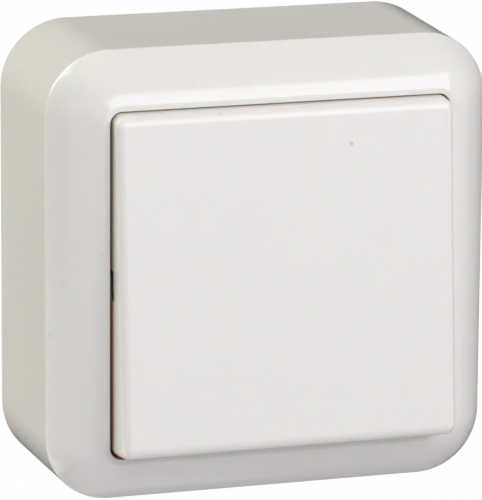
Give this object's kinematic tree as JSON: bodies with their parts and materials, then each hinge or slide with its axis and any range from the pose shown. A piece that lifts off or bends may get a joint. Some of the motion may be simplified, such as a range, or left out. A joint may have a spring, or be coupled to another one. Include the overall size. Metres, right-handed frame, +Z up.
{
  "type": "surface mounted light switch",
  "caption": "Surface mounted light switch: a deep white square cover with a sloping bezel, one large rocker, and the base, contacts and terminals behind it.",
  "frame": {"origin": "centre of the two wall screw slots, in the plane of the wall", "axes": "+Y into the wall, so the rocker faces -Y; +X to the right as seen from the front; +Z up"},
  "size_m": [0.084, 0.0451, 0.084],
  "materials": {
    "white_gloss": "glossy warm white moulding",
    "white_satin": "finely matt warm white moulding with glossy round edges",
    "base_plastic": "plain light moulding",
    "white_matte": "plain white moulding",
    "dark_moulding": "dark thermoset",
    "zinc_steel": "zinc plated",
    "brass": "bare strip",
    "copper": "bare copper alloy sheet",
    "silver": "silver contact faces",
    "spring_steel": "drawn wire"
  },
  "bodies": {
    "root": {"cover": "white_gloss", "cover_screws": "zinc_steel", "base": "base_plastic", "mechanism_body": "dark_moulding", "mechanism_lid": "white_matte", "mechanism_screws": "zinc_steel", "lid_screws": "zinc_steel", "upper_contact_strip": "brass", "lower_contact_strip": "brass", "fixed_contact_tips": "silver", "common_strip": "brass", "loop_strip": "brass", "terminal_plates": "zinc_steel", "terminal_screws": "zinc_steel"},
    "rocker": {"rocker": "white_satin", "rocker_carrier": "white_matte", "plunger_spring": "spring_steel"},
    "plunger": {"plunger": "brass"},
    "contact": {"moving_contact": "copper", "moving_contact_tips": "silver"}
  },
  "joints": [
    {"name": "rocker_tilt", "type": "hinge", "parent": "root", "child": "rocker", "pos_m": [0, -0.0327, 0], "axis": [1, 0, 0], "range_deg": [0, 9]},
    {"name": "contact_tilt", "type": "hinge", "parent": "root", "child": "contact", "pos_m": [0, -0.0179, 0], "axis": [1, 0, 0], "range_deg": [-14, 0]},
    {"name": "plunger_slide", "type": "slide", "parent": "rocker", "child": "plunger", "axis": [0, -0.9969, 0.0785], "range_m": [0, 0.001], "stiffness_N_per_m": 400, "springref_m": -0.001, "deforming": ["plunger_spring"]}
  ],
  "couplings": [
    {"joint": "contact_tilt", "follows": "rocker_tilt", "ratio": -1.5555}
  ]
}
